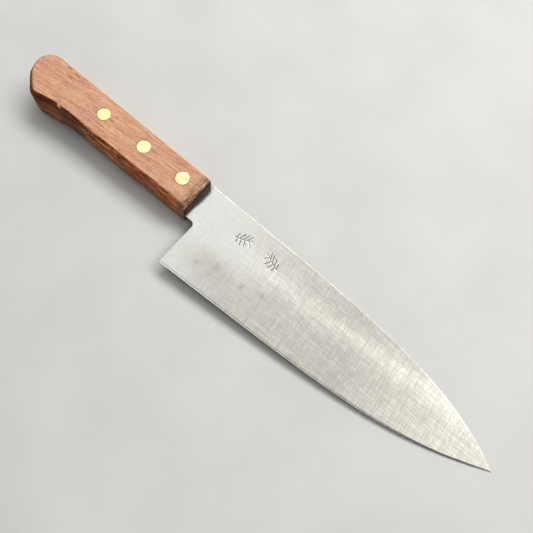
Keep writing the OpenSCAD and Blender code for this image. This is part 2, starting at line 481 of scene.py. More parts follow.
def off_rivet(g):
    """Distance in millimetres from the axis of the nearest rivet."""
    x, y, _ = g.split(g.mm)
    point = g.join(x, y, 0.0)
    away = [g.distance(point, (rivet_x[name] / MM, RIVET_Y / MM, 0)) for name in RIVETS]
    return g.math("MINIMUM", away[0], g.math("MINIMUM", away[1], away[2]))


# Two grain cracks near the spine side of the butt, and a pale chip on the belly's edge
CRACKS = (((-135.2, 21.8), (-132.4, 21.9)), ((-129.6, 21.2), (-126.4, 21.5)))
CRACK_WIDTH = 0.6
CHIP = ((-122.6, 2.9), (-121.4, 2.2))
CHIP_WIDTH = 1.2
# Marks along the handle, in millimetres from its butt: where each starts, is full, and ends
BLACK_HOLLOW = (11.35, 16.35, 24.35, 29.85)
# Span of the painted shade in the belly's finger hollow
FINGER_SHADE = (25.35, 32.35, 38.35, 50.35)
# Middle of the red patch, seen from either side, and the scale that makes it an oval
RED_PATCH_MIDDLE = (BUTT_X / MM + 8.35, 0, 9)
RED_PATCH_SCALE = (0.12, 0, 0.16)
# Pale line on the wood's front edge, in millimetres behind the front
BRIGHT_EDGE = (0.8, 1.2, 1.5, 2.2)


def wood():
    g = Graph("handle_wood")
    x, y, z = g.split(g.mm)
    point = g.join(x, y, 0.0)
    from_butt = g.minus(x, BUTT_X / MM)
    from_front = g.minus(FRONT_X / MM, x)
    geometry = g.tree.nodes.new("ShaderNodeNewGeometry")
    normal_x, normal_y, facing = g.split(geometry.outputs["Normal"])
    flat = g.ramp(g.math("ABSOLUTE", facing), 0.86, 0.98)

    # The grain rises a little towards the blade and is bent by slow noise
    bend = g.noise((0.02, 0.05, 0.05), shift=(11, 5, 2))
    across = g.plus(g.minus(y, g.times(x, 0.075)), g.times(bend, 5.0))
    grain = g.join(x, across, g.plus(z, g.times(x, 0.02)))
    broad = g.noise((0.015, 0.22, 0.22), at=grain, shift=(3, 0, 9))
    lines = g.noise((0.03, 1.0, 1.0), detail=3, roughness=0.75, at=grain)
    ribs = g.noise((0.03, 1.15, 1.15), detail=3, roughness=0.8, at=grain, shift=(4, 12, 33))
    hair = g.noise((0.12, 3.4, 3.4), detail=3, roughness=0.7, at=grain, shift=(0, 30, 0))
    dashes = g.noise((0.17, 1.9, 1.9), roughness=0.7, at=grain, shift=(9, 70, 4))
    dashes = g.ramp(dashes, 0.53, 0.66)
    vein = g.noise((0.02, 0.5, 0.5), detail=3, roughness=0.6, at=grain, shift=(50, 4, 0))
    veins = g.fade(g.math("ABSOLUTE", g.minus(vein, 0.5)), 0.0, 0.026)
    mottle = g.noise((0.9, 1.2, 1.0), detail=4, roughness=0.75, shift=(1, 2, 3))

    # The flat sides are pale, partly dry wood and partly a painted sheen, and a little darker
    # towards the front
    top = g.mix(g.ramp(broad, 0.35, 0.65), colour(208, 163, 131), colour(198, 147, 116))
    top = g.mix(g.ramp(lines, 0.44, 0.62, 0.0, 0.50), top, colour(172, 112, 88))
    top = g.mix(g.ramp(mottle, 0.42, 0.66, 0.0, 0.42), top, colour(232, 192, 162))
    top = g.tinge(top, dashes, 0.62, colour(140, 92, 78))
    top = g.tinge(top, veins, 0.50, colour(140, 92, 80))
    top = g.mix(g.ramp(from_butt, 55.35, 105.35, 0.0, 0.16), top, colour(172, 122, 98))

    # The rounded sides are golden below and dark red-brown above, and less dark at the front:
    # partly the wood's tone, partly a painted reflection below and painted shade above
    toward_front = g.ramp(from_butt, 45.35, 90.35)
    upper = g.mix(toward_front, colour(132, 58, 24), colour(180, 92, 50))
    lower = g.mix(toward_front, colour(176, 104, 46), colour(170, 98, 56))
    level = g.plus(z, g.times(g.minus(mottle, 0.5), 5.0), g.times(g.minus(broad, 0.5), 6.0))
    side = g.mix(g.ramp(level, 7.0, 12.0), lower, upper)

    # Dark and pale ribs of grain, strongest on the belly
    on_belly = g.ramp(normal_y, -0.2, 0.3, 1.0, 0.55)
    dark_ribs = g.times(g.ramp(ribs, 0.49, 0.55, 0.0, 0.80), on_belly)
    side = g.mix(dark_ribs, side, colour(58, 25, 8))
    pale_ribs = g.times(g.ramp(ribs, 0.40, 0.45, 0.75, 0.0), on_belly)
    pale_ribs = g.times(pale_ribs, g.ramp(from_butt, 10.35, 38.35, 0.3, 1.0))
    side = g.mix(pale_ribs, side, colour(240, 176, 104))

    # Darker towards the butt, with painted shade in the belly's finger hollow and a rubbed red
    # patch on each side
    side = g.mix(g.ramp(from_butt, 0.35, 50.35, 0.55, 0.0), side, colour(64, 24, 7))
    finger_shade = g.times(g.band(from_butt, *FINGER_SHADE), g.fade(normal_y, -0.3, 0.0))
    side = g.tinge(side, finger_shade, 0.6, colour(42, 18, 8))
    rubbed = g.fade(g.distance(g.mm, RED_PATCH_MIDDLE, RED_PATCH_SCALE), 0.2, 1.0)
    rubbed = g.times(rubbed, g.ramp(mottle, 0.38, 0.6, 0.2, 1.0))
    side = g.tinge(side, rubbed, 0.9, colour(188, 76, 26))

    # Golden on the spine side's upper half and on the butt: a painted highlight on these rounded
    # edges, over the wood's golden tone
    edge_sheen_gold = g.times(g.ramp(normal_y, 0.2, 0.7), g.ramp(facing, 0.25, 0.5))
    edge_sheen_gold = g.math("MAXIMUM", edge_sheen_gold, g.fade(normal_x, -0.85, -0.5))
    side = g.tinge(side, edge_sheen_gold, 0.8, colour(214, 156, 96))
    # Pale flat faces over darker rounded sides: partly the wood's own tones, partly a painted sheen
    # on the flats and painted shade on the sides
    base = g.mix(flat, side, top)
    base = g.mix(g.ramp(hair, 0.46, 0.68, 0.0, 0.46), base, colour(130, 82, 62))

    # The wide hollow on the belly's edge, by the butt, is nearly black
    on_edge = g.ramp(g.plus(z, g.times(mottle, 3.0)), 13.4, 14.8)
    hollow = g.times(g.band(from_butt, *BLACK_HOLLOW), g.fade(y, 5.0, 7.0))
    hollow = g.times(hollow, on_edge, g.minus(1.0, flat))
    base = g.tinge(base, hollow, 0.45, colour(48, 19, 7))
    crack = g.largest([g.stroke(point, start, end, CRACK_WIDTH) for start, end in CRACKS])
    seen_crack = g.times(crack, g.ramp(facing, 0.3, 0.8, 0.0, 0.7))
    base = g.mix(seen_crack, base, colour(92, 50, 36))
    chip = g.times(g.stroke(point, *CHIP, CHIP_WIDTH), g.ramp(z, 13.6, 14.2))
    base = g.tinge(base, chip, 0.75, colour(222, 164, 128))

    # Water stain on the last few millimetres before the blade, darkest on the end grain
    damp = g.noise((1.1, 0.35, 0.3), detail=4, roughness=0.75, shift=(6, 1, 0))
    yellowed = g.fade(g.plus(from_front, g.times(damp, 4.0)), 4.0, 10.0)
    base = g.tinge(base, yellowed, 0.45, colour(186, 150, 108))
    stain = g.times(g.fade(from_front, 1.6, 7.0), g.ramp(damp, 0.40, 0.56))
    base = g.tinge(base, stain, 0.9, colour(70, 62, 48))
    bright_edge = g.times(g.band(from_front, *BRIGHT_EDGE), g.ramp(z, 11.5, 13.5))
    bright_edge = g.times(bright_edge, g.ramp(damp, 0.3, 0.6, 1.0, 0.2))
    base = g.tinge(base, bright_edge, 0.50, colour(190, 146, 92))
    fibres = g.noise((0.3, 1.8, 0.5), detail=3, roughness=0.7, shift=(2, 8, 5))
    end_tone = g.mix(g.ramp(fibres, 0.45, 0.7), colour(14, 12, 9), colour(70, 54, 34))
    end_grain = g.ramp(g.plus(from_front, g.times(damp, 0.8)), 0.6, 1.3, 0.96, 0.0)
    base = g.mix(end_grain, base, end_tone)

    # Thin dark line of old polish round each rivet
    ring = g.fade(off_rivet(g), HEAD_RADIUS / MM + 0.05, HEAD_RADIUS / MM + 0.5)
    base = g.tinge(base, ring, 0.4, colour(110, 78, 50))

    g.set("Base Color", base)
    g.set("Roughness", g.ramp(g.plus(hair, g.times(dashes, 0.3)), 0.3, 0.8, 0.45, 0.65))
    g.set("Specular IOR Level", 0.12)
    relief = g.minus(g.times(g.plus(hair, lines), 0.4), dashes)
    dents = g.plus(g.times(veins, 0.4), g.times(crack, 3.0))
    g.set("Normal", g.bump(g.minus(relief, dents), 0.035 * MM))
    return g.material


def brass():
    g = Graph("rivet_brass")
    x = g.split(g.mm)[0]
    scratch = g.noise((0.5, 3.6, 1.0), detail=3, roughness=0.7)
    cloud = g.noise((0.35, 0.35, 0.35), detail=4, roughness=0.7, shift=(2, 4, 1))
    base = g.mix(g.ramp(cloud, 0.35, 0.65), colour(250, 245, 190), colour(240, 231, 166))
    base = g.mix(g.ramp(scratch, 0.45, 0.7, 0.0, 0.4), base, colour(214, 196, 128))
    # The front rivet is the most tarnished
    patina = g.times(g.ramp(x, -60.0, -50.0, 0.25, 1.0), g.ramp(cloud, 0.42, 0.66))
    base = g.tinge(base, patina, 0.5, colour(196, 160, 92))
    rim = g.ramp(off_rivet(g), HEAD_RADIUS / MM - 0.25, HEAD_RADIUS / MM)
    base = g.tinge(base, rim, 0.75, colour(128, 102, 58))
    g.set("Base Color", base)
    g.set("Metallic", 1.0)
    rough = g.ramp(scratch, 0.3, 0.7, 0.17, 0.24)
    g.set("Roughness", g.math("MULTIPLY_ADD", rim, 0.25, rough))
    g.set("Normal", g.bump(scratch, 0.002 * MM))
    return g.material


def pale_floor():
    g = Graph("pale_floor")
    cloud = g.ramp(g.noise((0.02, 0.02, 0.02), detail=3), 0.3, 0.7)
    g.set("Base Color", g.mix(cloud, colour(188, 188, 186), colour(194, 194, 191)))
    g.set("Roughness", 0.8)
    return g.material


# ---- The blade ----

EDGE_SAMPLES = 40
NECK_STEPS = 8
CHOIL_STEPS = 12
ROW_STEPS = 34
BODY_STEPS = 190
TIP_STEPS = 24
# The last stretch before the tip has finer columns, and the last of them stops short of it
TIP_STRETCH = 6 * MM
TIP_STUB = 0.03 * MM
# Stands for any distance that is too long to matter
FAR = 1.0
LENGTH_UV = "along"


def grind_thickness(x, y):
    """Thickness of the steel from its distance to the cutting edge, as arrays."""
    width = np.full(x.shape, np.inf)
    for t in spread(0, 1, EDGE_SAMPLES):
        foot = cubic(EDGE_CURVE, t)
        ahead = cubic(EDGE_CURVE, min(t + 0.001, 1)) - cubic(EDGE_CURVE, max(t - 0.001, 0))
        ahead.normalize()
        width = np.minimum(width, (y - foot.y) * ahead.x - (x - foot.x) * ahead.y)
    width = np.maximum(width, 0)
    share = np.clip((width - BEVEL_WIDTH) / (GRIND_WIDTH - BEVEL_WIDTH), 0, 1)
    share = share + GRIND_BELLY * share * (1 - share)
    ground = BEVEL_THICKNESS + (BLADE_THICKNESS - BEVEL_THICKNESS) * share
    bevel = EDGE_THICKNESS + (BEVEL_THICKNESS - EDGE_THICKNESS) * width / BEVEL_WIDTH
    return np.where(width < BEVEL_WIDTH, bevel, ground)


NECK_LOW = RIVET_Y - NECK_DROP
CHOIL_X = HEEL.x - CHOIL_RADIUS
CHOIL_Y = NECK_LOW - CHOIL_RADIUS


def choil_height(x):
    """Lower side of the neck, which turns down into the heel through a rounded corner."""
    if x <= CHOIL_X:
        return NECK_LOW
    return CHOIL_Y + math.sqrt(max(CHOIL_RADIUS**2 - (x - CHOIL_X) ** 2, 0))


def blade_mesh(material):
    """The blade as two sheets of quads, above and below, closed round the outline."""
    height = height_on(SPINE_CURVE, HEEL.x) - HEEL.y
    corner_share = (CHOIL_Y - HEEL.y) / height

    # Rows, in shares of the height: fine at the bevel, at the choil's corner and at the spine
    low_rows = [share * BEVEL_WIDTH / height for share in (0, 0.4, 1, 1.5)]
    low_rows += spread(3 * BEVEL_WIDTH / height, corner_share - STEEL_EASE / height, ROW_STEPS)
    high_rows = [corner_share + e / height for e in EASE_STEPS]
    margin = EASE_MARGIN / height
    high_rows += spread(corner_share + margin, 1 - margin, ROW_STEPS)
    high_rows += [1 - e / height for e in reversed(EASE_STEPS)]
    rows = low_rows + high_rows
    first_high = len(low_rows)

    # Columns: the neck, the choil's arc, the heel's eased edge, then the blade to its tip
    neck = spread(FRONT_X, CHOIL_X, NECK_STEPS)[:-1]
    turns = [math.radians(90 * i / CHOIL_STEPS) for i in range(CHOIL_STEPS)]
    neck += [CHOIL_X + CHOIL_RADIUS * math.sin(turn) for turn in turns]
    body = [HEEL.x + e for e in EASE_STEPS]
    body += spread(HEEL.x + EASE_MARGIN, TIP.x - TIP_STRETCH, BODY_STEPS)
    body += [TIP.x - TIP_STRETCH * (1 - i / TIP_STEPS) for i in range(1, TIP_STEPS)]
    body.append(TIP.x - TIP_STUB)
    columns = [(x, True) for x in neck] + [(x, False) for x in body]

    grid = {}
    points = []
    for i, (x, is_neck) in enumerate(columns):
        high = height_on(SPINE_CURVE, x)
        low = choil_height(x) if is_neck else height_on(EDGE_CURVE, x)
        for j, row in enumerate(rows):
            if is_neck and j < first_high:
                continue
            share = (row - corner_share) / (1 - corner_share) if is_neck else row
            grid[i, j] = len(points)
            points.append((x, low + (high - low) * share))
    tip_index = len(points)
    points.append((TIP.x, TIP.y))

    # The rim is eased: distances to the spine, the heel, the choil's arc and the neck's lower side
    x = np.array([p[0] for p in points])
    y = np.array([p[1] for p in points])
    thickness = grind_thickness(x, y)
    spine = np.array([height_on(SPINE_CURVE, place_at) for place_at in x])
    from_arc = np.hypot(np.maximum(x - CHOIL_X, 0), y - CHOIL_Y) - CHOIL_RADIUS
    in_arc = (x > CHOIL_X) & (x < HEEL.x + CHOIL_RADIUS) & (y >= CHOIL_Y)
    for to_rim in (
        np.minimum(spine - y, FAR),
        np.where(y < CHOIL_Y, x - HEEL.x, FAR),
        np.where(in_arc, from_arc, FAR),
        np.where(x <= CHOIL_X, y - NECK_LOW, FAR),
    ):
        inside = np.clip(STEEL_EASE - to_rim, 0, STEEL_EASE)
        drop = STEEL_EASE - np.sqrt(np.maximum(STEEL_EASE**2 - inside**2, 0))
        thickness = thickness - 2 * np.minimum(drop, 0.3 * thickness)

    count = len(points)
    above = [(a, b, MID_Z + t / 2) for (a, b), t in zip(points, thickness)]
    below = [(a, b, MID_Z - t / 2) for (a, b), t in zip(points, thickness)]
    faces = []
    last = len(columns) - 1
    for i in range(last):
        for j in range(len(rows) - 1):
            corners = [(i, j), (i + 1, j), (i + 1, j + 1), (i, j + 1)]
            if all(c in grid for c in corners):
                quad = [grid[c] for c in corners]
                faces.append(quad)
                faces.append([count + k for k in reversed(quad)])
    for j in range(len(rows) - 1):
        faces.append([grid[last, j], tip_index, grid[last, j + 1]])
        faces.append([count + grid[last, j + 1], count + tip_index, count + grid[last, j]])

    # The rim, anticlockwise from the neck's lower rear corner
    heel_column = len(neck)
    rim = [grid[i, first_high] for i in range(heel_column)]
    rim += [grid[heel_column, j] for j in range(first_high, -1, -1)]
    rim += [grid[i, 0] for i in range(heel_column + 1, last + 1)]
    rim.append(tip_index)
    rim += [grid[i, len(rows) - 1] for i in range(last, -1, -1)]
    rim += [grid[0, j] for j in range(len(rows) - 2, first_high, -1)]
    for a, b in zip(rim, rim[1:] + rim[:1]):
        faces.append([a, count + a, count + b, b])
    return new_object("blade_body", above + below, faces, material, sharp_angle=50)


def add_length_uv(obj):
    """A UV map whose U runs along the knife, which sets the direction of the satin."""
    layer = obj.data.uv_layers.new(name=LENGTH_UV)
    for loop in obj.data.loops:
        co = obj.data.vertices[loop.vertex_index].co
        # A little of the height goes into V, so that upright faces have a direction too
        layer.data[loop.index].uv = (co.x / REACH, co.y / REACH + co.z / REACH * 0.01)


def flat_plate(name, outline, holes, low_z, high_z, material):
    """A plate with round holes, from its outline and a list of (x, y, radius)."""
    curve = bpy.data.curves.new(name, "CURVE")
    curve.dimensions = "2D"
    curve.fill_mode = "BOTH"
    curve.extrude = (high_z - low_z) / 2
    loops = [outline]
    for x, y, radius in holes:
        turn = [2 * math.pi * i / HOLE_STEPS for i in range(HOLE_STEPS)]
        loops.append([(x + radius * math.cos(a), y + radius * math.sin(a)) for a in turn])
    for loop in loops:
        spline = curve.splines.new("POLY")
        spline.points.add(len(loop) - 1)
        for point, (x, y) in zip(spline.points, loop):
            point.co = (x, y, 0, 1)
        spline.use_cyclic_u = True
    source = add(name, curve)
    mesh = evaluated_mesh(source)
    mesh.transform(Matrix.Translation((0, 0, (low_z + high_z) / 2)))
    bpy.data.objects.remove(source)
    work = bmesh.new()
    work.from_mesh(mesh)
    bmesh.ops.remove_doubles(work, verts=work.verts, dist=1e-6)
    work.to_mesh(mesh)
    work.free()
    mesh.materials.clear()
    mesh.materials.append(material)
    mesh.shade_flat()
    return add(name, mesh)


def spine_side(x):
    """Height of the handle's spine side at a place along it."""
    share = (FRONT_X - x) / HANDLE_LENGTH
    return RIVET_Y + RISE_FRONT + (RISE_REAR - RISE_FRONT) * share


def tang_outline(inset):
    """The tang from above: inset is how far its upper side lies under the handle's spine side."""
    rear = FRONT_X - TANG_LENGTH
    foot = RIVET_Y - TANG_DROP_REAR
    corner = []
    for step in range(8, -1, -1):
        turn = math.radians(90 * step / 8)
        place_at = (1 - math.sin(turn), 1 - math.cos(turn))
        corner.append((rear + TANG_CORNER * place_at[0], foot + TANG_CORNER * place_at[1]))
    front = [(FRONT_X, RIVET_Y - TANG_DROP_FRONT), (FRONT_X, spine_side(FRONT_X) - inset)]
    return front + [(rear, spine_side(rear) - inset)] + corner


def blade():
    material = steel()
    obj = blade_mesh(material)
    half = BLADE_THICKNESS / 2 - TANG_RELIEF
    holes = [(rivet_x[name], RIVET_Y, TANG_HOLE_RADIUS) for name in RIVETS]
    tang = flat_plate("tang", tang_outline(TANG_INSET), holes, MID_Z - half, MID_Z + half, material)
    with bpy.context.temp_override(active_object=obj, selected_editable_objects=[obj, tang]):
        bpy.ops.object.join()
    add_length_uv(obj)
    place(obj, "blade_steel", "blade")


# ---- The handle ----


def rounded_outline(corners, steps):
    """Points round an outline of corners (x, y, radius), anticlockwise."""
    points = []
    count = len(corners)
    for i, (x, y, radius) in enumerate(corners):
        here = Vector((x, y))
        before = Vector(corners[i - 1][:2])
        after = Vector(corners[(i + 1) % count][:2])
        enter = (here - before).normalized()
        leave = (after - here).normalized()
        sweep = -enter.angle_signed(leave)
        side = 1 if sweep > 0 else -1
        reach = radius * math.tan(abs(sweep) / 2)
        start = here - enter * reach
        normal = Vector((-enter.y, enter.x)) * side
        centre = start + normal * radius
        arm = start - centre
        for k in range(steps + 1):
            angle = sweep * k / steps
            spun = Vector((
                arm.x * math.cos(angle) - arm.y * math.sin(angle),
                arm.x * math.sin(angle) + arm.y * math.cos(angle),
            ))
            points.append(centre + spun)
    return points


def resample(path, count):
    """count + 1 points, evenly spaced along a path."""
    lengths = [0.0]
    for a, b in zip(path, path[1:]):
        lengths.append(lengths[-1] + (b - a).length)
    result = []
    k = 0
    for i in range(count + 1):
        want = lengths[-1] * i / count
        while k < len(path) - 2 and lengths[k + 1] < want:
            k += 1
        step = lengths[k + 1] - lengths[k]
        result.append(path[k].lerp(path[k + 1], (want - lengths[k]) / step if step else 0))
    return result


CORNER_STEPS = 24
LONG_STEPS = 210
END_STEPS = 40
SOFT_STEPS = 9
WALL_STEPS = 16
# 1 gives a round edge, and more gives one that is nearer to a flat chamfer
SHOULDER = 1.35
# How far the flat sides of the wood lie inside the CAD box
SKIN = 0.03 * MM
SOFT_INWARDS = 1.0 * MM
SOFT_DROP = 1.1 * MM
# Spans along the handle in which its upper edge changes, in millimetres from the butt
BELLY_SPAN = (-0.65, 7.35)
NEAR_BUTT_SPAN = (5.35, 17.35)
HOLLOW_START = (12.35, 16.85)
HOLLOW_END = (24.35, 30.85)
BUTT_SPAN = (0.05, 3.35)
# Spans across it, in millimetres up from the line of the rivets
BELLY_RISE = (-7, 1)
BUTT_RISE = (-5.2, 2.8)
# Cells of the wear along the edge to a metre, coarse and fine
WEAR_COARSE = 600
WEAR_FINE = 2200


def handle_ring():
    """The outline as one ring: front, spine side, butt, belly, from the front's lower corner."""
    y = RIVET_Y
    corners = [
        (FRONT_X, y - BELLY_DROP_FRONT, FRONT_ROUND),
        (FRONT_X, y + RISE_FRONT, FRONT_ROUND),
        (BUTT_X, y + RISE_REAR, BUTT_SPINE_ROUND),
        (BUTT_X, y - BUTT_DROP, BUTT_BELLY_ROUND),
        (BUTT_X + FLARE_SETBACK, y - FLARE_DROP, FLARE_ROUND),
        (BUTT_X + FLARE_LENGTH, y - BELLY_DROP_REAR, WAIST_ROUND),
    ]
    points = rounded_outline(corners, CORNER_STEPS)
    half = CORNER_STEPS // 2
    block = CORNER_STEPS + 1
    marks = [half, block + half, 2 * block + half, 3 * block + half]
    front = points[marks[0]:marks[1] + 1]
    spine = points[marks[1]:marks[2] + 1]
    butt = points[marks[2]:marks[3] + 1]
    belly = points[marks[3]:] + points[:marks[0] + 1]
    ring = []
    for side, steps in zip((front, spine, butt, belly), (END_STEPS, LONG_STEPS) * 2):
        ring += resample(side, steps)[:-1]
    return ring


def edge_softness(x, y, above):
    """How far the softened edge reaches inwards and how far it drops, at a place on the outline."""
    if not above:
        return SOFT_INWARDS, SOFT_DROP
    along, up = (x - BUTT_X) / MM, (y - RIVET_Y) / MM
    belly = (1 - smoothstep(*BELLY_RISE, up)) * smoothstep(*BELLY_SPAN, along)
    near_butt = 1 - smoothstep(*NEAR_BUTT_SPAN, along)
    hollow = smoothstep(*HOLLOW_START, along) * (1 - smoothstep(*HOLLOW_END, along))
    butt = (1 - smoothstep(*BUTT_SPAN, along)) * (1 - smoothstep(*BUTT_RISE, up))
    wear = noise.noise(Vector((x * WEAR_COARSE, y * WEAR_COARSE, 1.7)))
    wear += 0.8 * noise.noise(Vector((x * WEAR_FINE, y * WEAR_FINE, 7.1)))
    inwards = 0.7 * butt + belly * (1.5 + 0.9 * hollow + 0.7 * near_butt + 0.16 * wear)
    drop = 1.2 * butt + belly * (2.6 + 0.8 * hollow - 2.1 * near_butt)
    return float(SOFT_INWARDS + inwards * MM), float(SOFT_DROP + drop * MM)


def handle_mesh(material):
    ring = handle_ring()
    count = len(ring)
    normals = []
    for i in range(count):
        ahead = (ring[(i + 1) % count] - ring[i - 1]).normalized()
        normals.append(Vector((ahead.y, -ahead.x)))
    low_soft = [edge_softness(point.x, point.y, False) for point in ring]
    high_soft = [edge_softness(point.x, point.y, True) for point in ring]
    top = HANDLE_THICKNESS - SKIN
    bottom = SKIN

    turns = [math.radians(90 * k / SOFT_STEPS) for k in range(SOFT_STEPS + 1)]
    levels = [("low", turn) for turn in turns]
    levels += [("wall", k / WALL_STEPS) for k in range(1, WALL_STEPS)]
    levels += [("high", turn) for turn in turns]
    vertices = []
    for kind, value in levels:
        for point, normal, low, high in zip(ring, normals, low_soft, high_soft):
            low_in, low_drop = low
            high_in, high_drop = high
            if kind == "low":
                inset = low_in * (1 - math.sin(value))
                z = bottom + low_drop * (1 - math.cos(value))
            elif kind == "high":
                inset = high_in * (1 - math.cos(value)**SHOULDER)
                z = top - high_drop * (1 - math.sin(value)**SHOULDER)
            else:
                inset = 0.0
                z = bottom + low_drop + (top - high_drop - bottom - low_drop) * value
            place_at = point - normal * inset
            vertices.append((place_at.x, place_at.y, z))

    faces = []
    for k in range(len(levels) - 1):
        for i in range(count):
            j = (i + 1) % count
            below, above = k * count, (k + 1) * count
            faces.append([below + i, below + j, above + j, above + i])

    # Each flat side is a ladder of quads between the spine side and the belly
    def ring_index(row, column):
        """Index on the ring of a border point of the ladder: column 0 is the front."""
        if column == 0:
            return row
        if column == LONG_STEPS:
            return END_STEPS + LONG_STEPS + (END_STEPS - row)
        if row == END_STEPS:
            return END_STEPS + column
        return (count - column) % count

    for level, upward in ((0, False), (len(levels) - 1, True)):
        index = {}

        def at(column, row):
            return Vector(vertices[index[column, row]])

        for column in range(LONG_STEPS + 1):
            for row in range(END_STEPS + 1):
                if row in (0, END_STEPS) or column in (0, LONG_STEPS):
                    index[column, row] = level * count + ring_index(row, column)
        for column in range(1, LONG_STEPS):
            u = column / LONG_STEPS
            first = at(0, 0).lerp(at(LONG_STEPS, 0), u)
            final = at(0, END_STEPS).lerp(at(LONG_STEPS, END_STEPS), u)
            for row in range(1, END_STEPS):
                v = row / END_STEPS
                point = at(column, 0).lerp(at(column, END_STEPS), v)
                point += at(0, row).lerp(at(LONG_STEPS, row), u)
                point -= first.lerp(final, v)
                index[column, row] = len(vertices)
                vertices.append(tuple(point))
        for column in range(LONG_STEPS):
            for row in range(END_STEPS):
                near = [index[column, row], index[column, row + 1]]
                quad = near + [index[column + 1, row + 1], index[column + 1, row]]
                faces.append(quad if upward else quad[::-1])
    return new_object("handle_block", vertices, faces, material, sharp_angle=60)


def turned(name, profile, centre, material):
    """A turned piece from its profile of (radius, height), from the axis round to the axis."""
    steps = TURN_STEPS
    vertices, faces = [], []
    rings = []
    for radius, z in profile:
        if radius == 0:
            rings.append([len(vertices)])
            vertices.append((centre[0], centre[1], z))
            continue
        rings.append(list(range(len(vertices), len(vertices) + steps)))
        for i in range(steps):
            angle = 2 * math.pi * i / steps
            x, y = radius * math.cos(angle), radius * math.sin(angle)
            vertices.append((centre[0] + x, centre[1] + y, z))
    for a, b in zip(rings, rings[1:]):
        for i in range(steps):
            j = (i + 1) % steps
            if len(a) == 1:
                faces.append([a[0], b[j], b[i]])
            elif len(b) == 1:
                faces.append([a[i], a[j], b[0]])
            else:
                faces.append([a[i], a[j], b[j], b[i]])
    return new_object(name, vertices, faces, material, sharp_angle=35)


def hole_profile():
    """A cutter for one rivet: a bore, and on each side a counterbore with an eased mouth."""
    radius = HEAD_RADIUS + HEAD_CLEARANCE
    mouth = radius + MOUTH_FLARE
    lower = [
        (0, -OVERSHOOT),
        (mouth, -OVERSHOOT),
        (mouth, MOUTH_LIP),
        (radius, MOUTH_DEPTH),
        (radius, HEAD_DEPTH),
        (BARREL_RADIUS, HEAD_DEPTH),
    ]
    return lower + [(r, HANDLE_THICKNESS - z) for r, z in reversed(lower)]


def handle():
    material = wood()
    obj = handle_mesh(material)
    profile = hole_profile()
    for name in RIVETS:
        cut_away(obj, turned("hole", profile, (rivet_x[name], RIVET_Y), material))
    half = BLADE_THICKNESS / 2 - TANG_RELIEF + SLOT_CLEARANCE
    outline = tang_outline(-SLOT_OVERSHOOT)
    slot = flat_plate("slot", outline, [], MID_Z - half, MID_Z + half, material)
    slot.data.transform(Matrix.Translation((OVERSHOOT / 2, 0, 0)))
    cut_away(obj, slot)
    place(obj, "handle_wood", "handle")


# ---- The rivets ----


def head_face(top, rise):
    """The crowned face of a rivet's head, from its axis out to its eased rim."""
    shares = (0, 0.3, 0.55, 0.75, 0.9)
    face = [(HEAD_RADIUS * s, top - rise * HEAD_CROWN * s * s) for s in shares]
    for turn in spread(0, math.pi / 2, 3):
        radius = HEAD_RADIUS - HEAD_RIM * (1 - math.sin(turn))
        face.append((radius, top - rise * (HEAD_CROWN + HEAD_RIM * (1 - math.cos(turn)))))
    return face


def rivets():
    """Each rivet is a head with a solid shank, pressed into a head with a hollow barrel."""
    material = brass()
    top = HANDLE_THICKNESS
    male = [
        (0, SHANK_END),
        (SHANK_RADIUS - SHANK_EASE, SHANK_END),
        (SHANK_RADIUS, SHANK_END + SHANK_EASE),
        (SHANK_RADIUS, top - HEAD_DEPTH),
        (HEAD_RADIUS, top - HEAD_DEPTH),
        *reversed(head_face(top, 1)),
    ]
    female = [
        *head_face(0, -1),
        (HEAD_RADIUS, HEAD_DEPTH),
        (BARREL_RADIUS, HEAD_DEPTH),
        (BARREL_RADIUS, top - HEAD_DEPTH),
        (SHANK_RADIUS, top - HEAD_DEPTH),
        (SHANK_RADIUS, BARREL_FLOOR),
        (0, BARREL_FLOOR),
    ]
    for name in RIVETS:
        centre = (rivet_x[name], RIVET_Y)
        head = turned(f"rivet_{name}_head", male, centre, material)
        place(head, "rivet_brass", f"rivet_{name}_male")
        barrel = turned(f"rivet_{name}_barrel", female, centre, material)
        place(barrel, "rivet_brass", f"rivet_{name}_female")


# ---- Floor, light and camera ----

FLOOR_REACH = 3.0
CEILING = 1.2
# The strip lamps hang this far under the ceiling panels, so that no two lamps share a plane
STRIP_DROP = 0.01
STRIP_WIDTH = 0.014
# Nearest and farthest ground under the ceiling panels, and where two of them meet
SKY_NEAR, SKY_SPLIT, SKY_FAR = -0.1, 0.23, 0.6
# Strength of the room's light low down and high up, and the heights between which it changes,
# where 0 is level and 1 is straight up
ROOM_LOW, ROOM_HIGH = 0.38, 0.12
ROOM_HEIGHTS = (0.60, 0.85)
WHITE = (1, 1, 1)


def floor():
    """The knife rests on the front of its handle's lower side and on the underside of its tip."""
    back = Vector((FRONT_X, 0, handle_low.z))
    point = Vector((TIP.x, 0, MID_Z - EDGE_THICKNESS / 2))
    slope = math.atan2(point.z - back.z, point.x - back.x)
    signs = ((-1, -1), (1, -1), (1, 1), (-1, 1))
    corners = [(x * FLOOR_REACH, y * FLOOR_REACH, 0) for x, y in signs]
    mesh = bpy.data.meshes.new("floor")
    mesh.from_pydata(corners, [], [(0, 1, 2, 3)])
    mesh.materials.append(pale_floor())
    obj = add("floor", mesh)
    obj.matrix_world = Matrix.Translation(back) @ Matrix.Rotation(-slope, 4, "Y")


def area_light(name, place_at, target, size, power, tint=WHITE):
    """A soft panel that faces target, with the first side of its size level along X."""
    data = bpy.data.lights.new(name, "AREA")
    data.shape = "RECTANGLE"
    data.size, data.size_y = size
    data.energy = power
    data.color = tint
    obj = add(name, data)
    back = (Vector(place_at) - Vector(target)).normalized()
    right = (Vector((1, 0, 0)) - back * back.x).normalized()
    turn = Matrix((right, back.cross(right), back)).transposed().to_4x4()
    obj.matrix_world = Matrix.Translation(place_at) @ turn
    return obj


